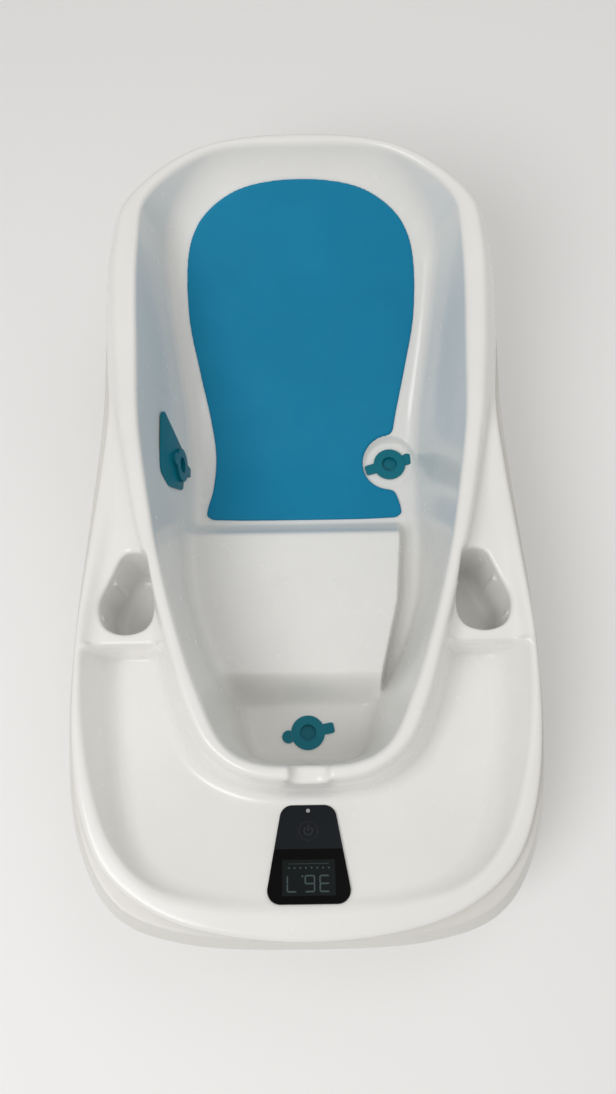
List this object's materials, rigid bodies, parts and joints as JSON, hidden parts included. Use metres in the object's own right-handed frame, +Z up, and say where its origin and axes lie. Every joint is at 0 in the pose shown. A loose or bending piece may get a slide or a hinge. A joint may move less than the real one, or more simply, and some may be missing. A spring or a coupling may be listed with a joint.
{
  "type": "baby bathtub",
  "caption": "Reclined infant bathtub with a rinse-water reservoir round the foot end, hinged drain plugs, cup pockets and a battery thermometer.",
  "frame": {"origin": "on the ground under the centre of the tub's box", "axes": "+X to the right seen from the foot end, +Y towards the head end, +Z up"},
  "size_m": [0.4962, 0.8529, 0.2807],
  "materials": {
    "white_moulding": "smooth glossy white polypropylene",
    "mat_foam": "matte blue textured foam",
    "teal_rubber": "satin teal elastomer",
    "foot_rubber": "matte grey rubber",
    "seal_rubber": "black silicone seal",
    "black_plastic": "fine black moulded plastic",
    "cover_plastic": "dark blue-grey satin plastic",
    "gloss_black": "polished black window",
    "lcd_glass": "dark display",
    "board": "green solder mask",
    "cell_metal": "battery jackets",
    "screw_steel": "bright steel"
  },
  "bodies": {
    "tub": {"tub_shell": "white_moulding", "outer_skirt": "white_moulding", "foot_pad_front_left": "foot_rubber", "foot_pad_front_right": "foot_rubber", "foot_pad_rear_left": "foot_rubber", "foot_pad_rear_right": "foot_rubber", "skirt_screws": "screw_steel", "back_mat": "mat_foam", "side_drain_insert": "teal_rubber", "foot_plug_anchor": "teal_rubber", "seat_plug_anchor": "teal_rubber", "side_plug_anchor": "teal_rubber", "housing_gasket": "seal_rubber", "thermometer_housing": "black_plastic", "housing_screws": "screw_steel", "display_window": "gloss_black", "button_cover": "cover_plastic", "temperature_sensor": "screw_steel", "lcd_panel": "lcd_glass", "circuit_board": "board", "button_switch": "black_plastic", "battery_cells": "cell_metal", "battery_contacts": "screw_steel", "door_gasket": "seal_rubber", "battery_door_post": "black_plastic", "battery_door": "black_plastic", "door_screw": "screw_steel"},
    "foot_plug": {"foot_plug": "teal_rubber"},
    "seat_plug": {"seat_plug": "teal_rubber"},
    "side_plug": {"side_plug": "teal_rubber"},
    "power_button": {"power_button": "cover_plastic"}
  },
  "joints": [
    {"name": "foot_plug_swing", "type": "hinge", "parent": "tub", "child": "foot_plug", "pos_m": [-0.01824, -0.2082, 0.0173], "axis": [0.1908, -0.9816, 0], "range_deg": [0, 110]},
    {"name": "seat_plug_swing", "type": "hinge", "parent": "tub", "child": "seat_plug", "pos_m": [0.12765, 0.13305, 0.0373], "axis": [-0.2756, 0.9613, 0], "range_deg": [0, 110]},
    {"name": "side_plug_swing", "type": "hinge", "parent": "tub", "child": "side_plug", "pos_m": [-0.14785, 0.10603, 0.11252], "axis": [0.008, -0.9988, -0.0493], "range_deg": [0, 110]},
    {"name": "power_button_press", "type": "slide", "parent": "tub", "child": "power_button", "axis": [0, -0.3189, -0.9478], "range_m": [0, 0.0008], "stiffness_N_per_m": 500, "springref_m": -0.001}
  ]
}
